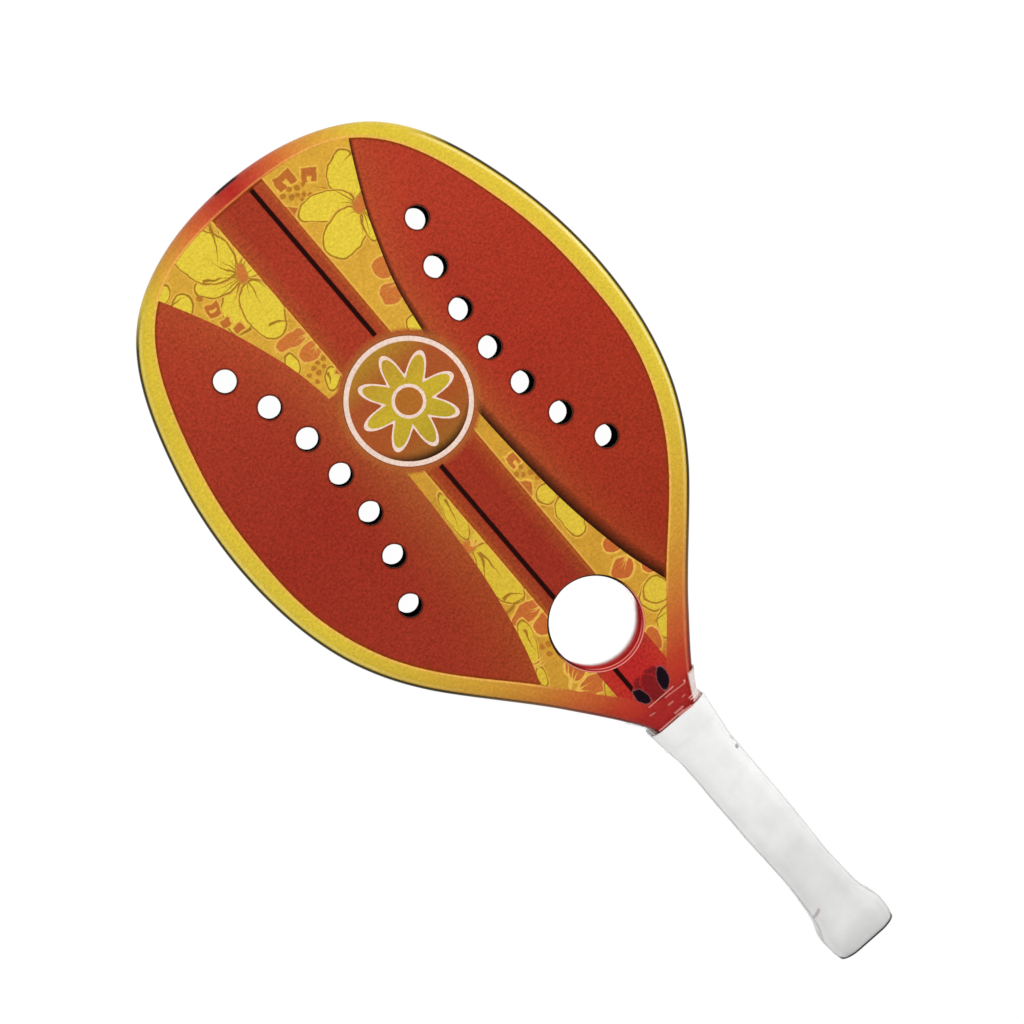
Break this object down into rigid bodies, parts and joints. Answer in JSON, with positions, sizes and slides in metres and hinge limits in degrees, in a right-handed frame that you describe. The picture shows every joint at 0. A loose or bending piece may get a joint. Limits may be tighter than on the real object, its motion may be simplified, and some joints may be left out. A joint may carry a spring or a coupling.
{
  "type": "beach tennis racket",
  "caption": "Beach tennis racket: perforated foam-cored head in a hollow composite frame, round throat hole, and a wrapped handle with a flared butt under a clear film.",
  "frame": {"origin": "on the surface the racket lies on, below the middle of its length and width; the flare of the handle touches that surface", "axes": "+Y from the butt to the tip of the head, +X across the head, +Z out of the front face"},
  "size_m": [0.2246, 0.476, 0.033],
  "materials": {
    "frame_laminate": "glossy painted composite laminate, yellow with orange and red ends",
    "core_foam": "soft black EVA foam with cut bores",
    "throat_foam": "firm moulded foam, hidden between the face sheets",
    "ring_plastic": "glossy red moulded liner",
    "face_laminate": "clear-coated printed laminate with a fine grit, red with yellow floral bands",
    "handle_foam": "moulded foam half shells",
    "cap_plastic": "dark moulded plastic with a fine satin texture",
    "grip_tape": "soft white wound grip tape",
    "collar_tape": "smooth white finishing band",
    "clear_film": "thin clear protective film, glossy and slightly crumpled"
  },
  "bodies": {
    "root": {"head_frame": "frame_laminate", "head_core": "core_foam", "throat_block": "throat_foam", "throat_ring": "ring_plastic", "front_face": "face_laminate", "back_face": "face_laminate", "handle_pallet_front": "handle_foam", "handle_pallet_back": "handle_foam", "butt_cap": "cap_plastic", "grip_wrap": "grip_tape", "grip_collar": "collar_tape", "film_sleeve": "clear_film"}
  },
  "joints": []
}
